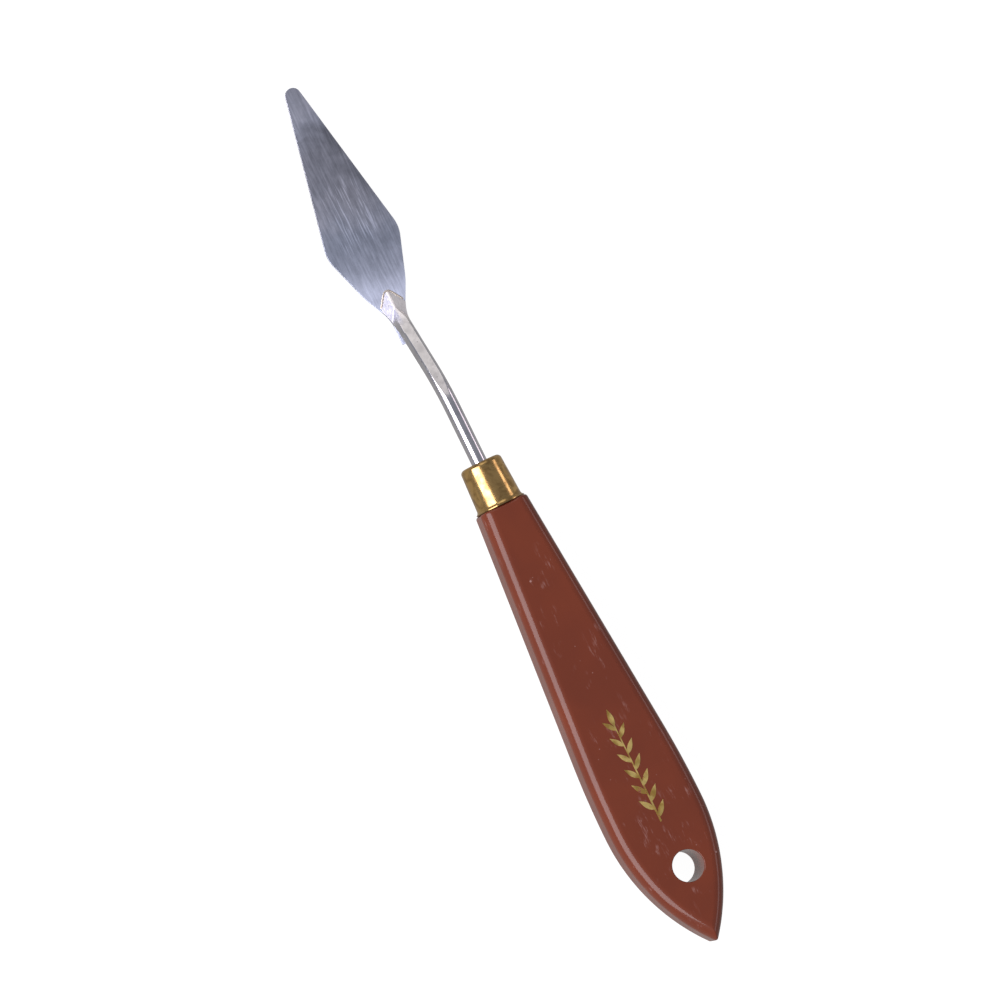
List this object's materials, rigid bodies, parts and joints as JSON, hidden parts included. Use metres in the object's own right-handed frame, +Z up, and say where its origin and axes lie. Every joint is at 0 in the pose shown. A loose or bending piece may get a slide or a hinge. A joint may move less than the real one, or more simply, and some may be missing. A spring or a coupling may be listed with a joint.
{
  "type": "palette knife",
  "caption": "Artist's painting knife with a diamond blade brazed to a cranked steel rod, a brass ferrule and a flat lacquered wooden handle with a hang hole.",
  "frame": {"origin": "centre of the bounding box in plan, at the level of the knife's lowest point, the underside of the blade's root", "axes": "+X along the handle towards the blade's tip, +Z up out of the handle's decorated face, +Y across the handle"},
  "size_m": [0.2045, 0.022, 0.0153],
  "materials": {
    "blade_steel": "satin, with fine lengthwise grinding marks",
    "rod_steel": "polished round rod, with a matt ground flat",
    "braze": "pale, cleaned braze",
    "ferrule_brass": "polished",
    "lacquered_wood": "opaque red-brown gloss lacquer",
    "adhesive": "cured resin",
    "gold_foil": "hot pressed metallic foil"
  },
  "bodies": {
    "root": {"blade": "blade_steel", "shank": "rod_steel", "braze_fillet": "braze", "ferrule": "ferrule_brass", "handle": "lacquered_wood", "tang_adhesive": "adhesive", "foil_sprig": "gold_foil"}
  },
  "joints": []
}
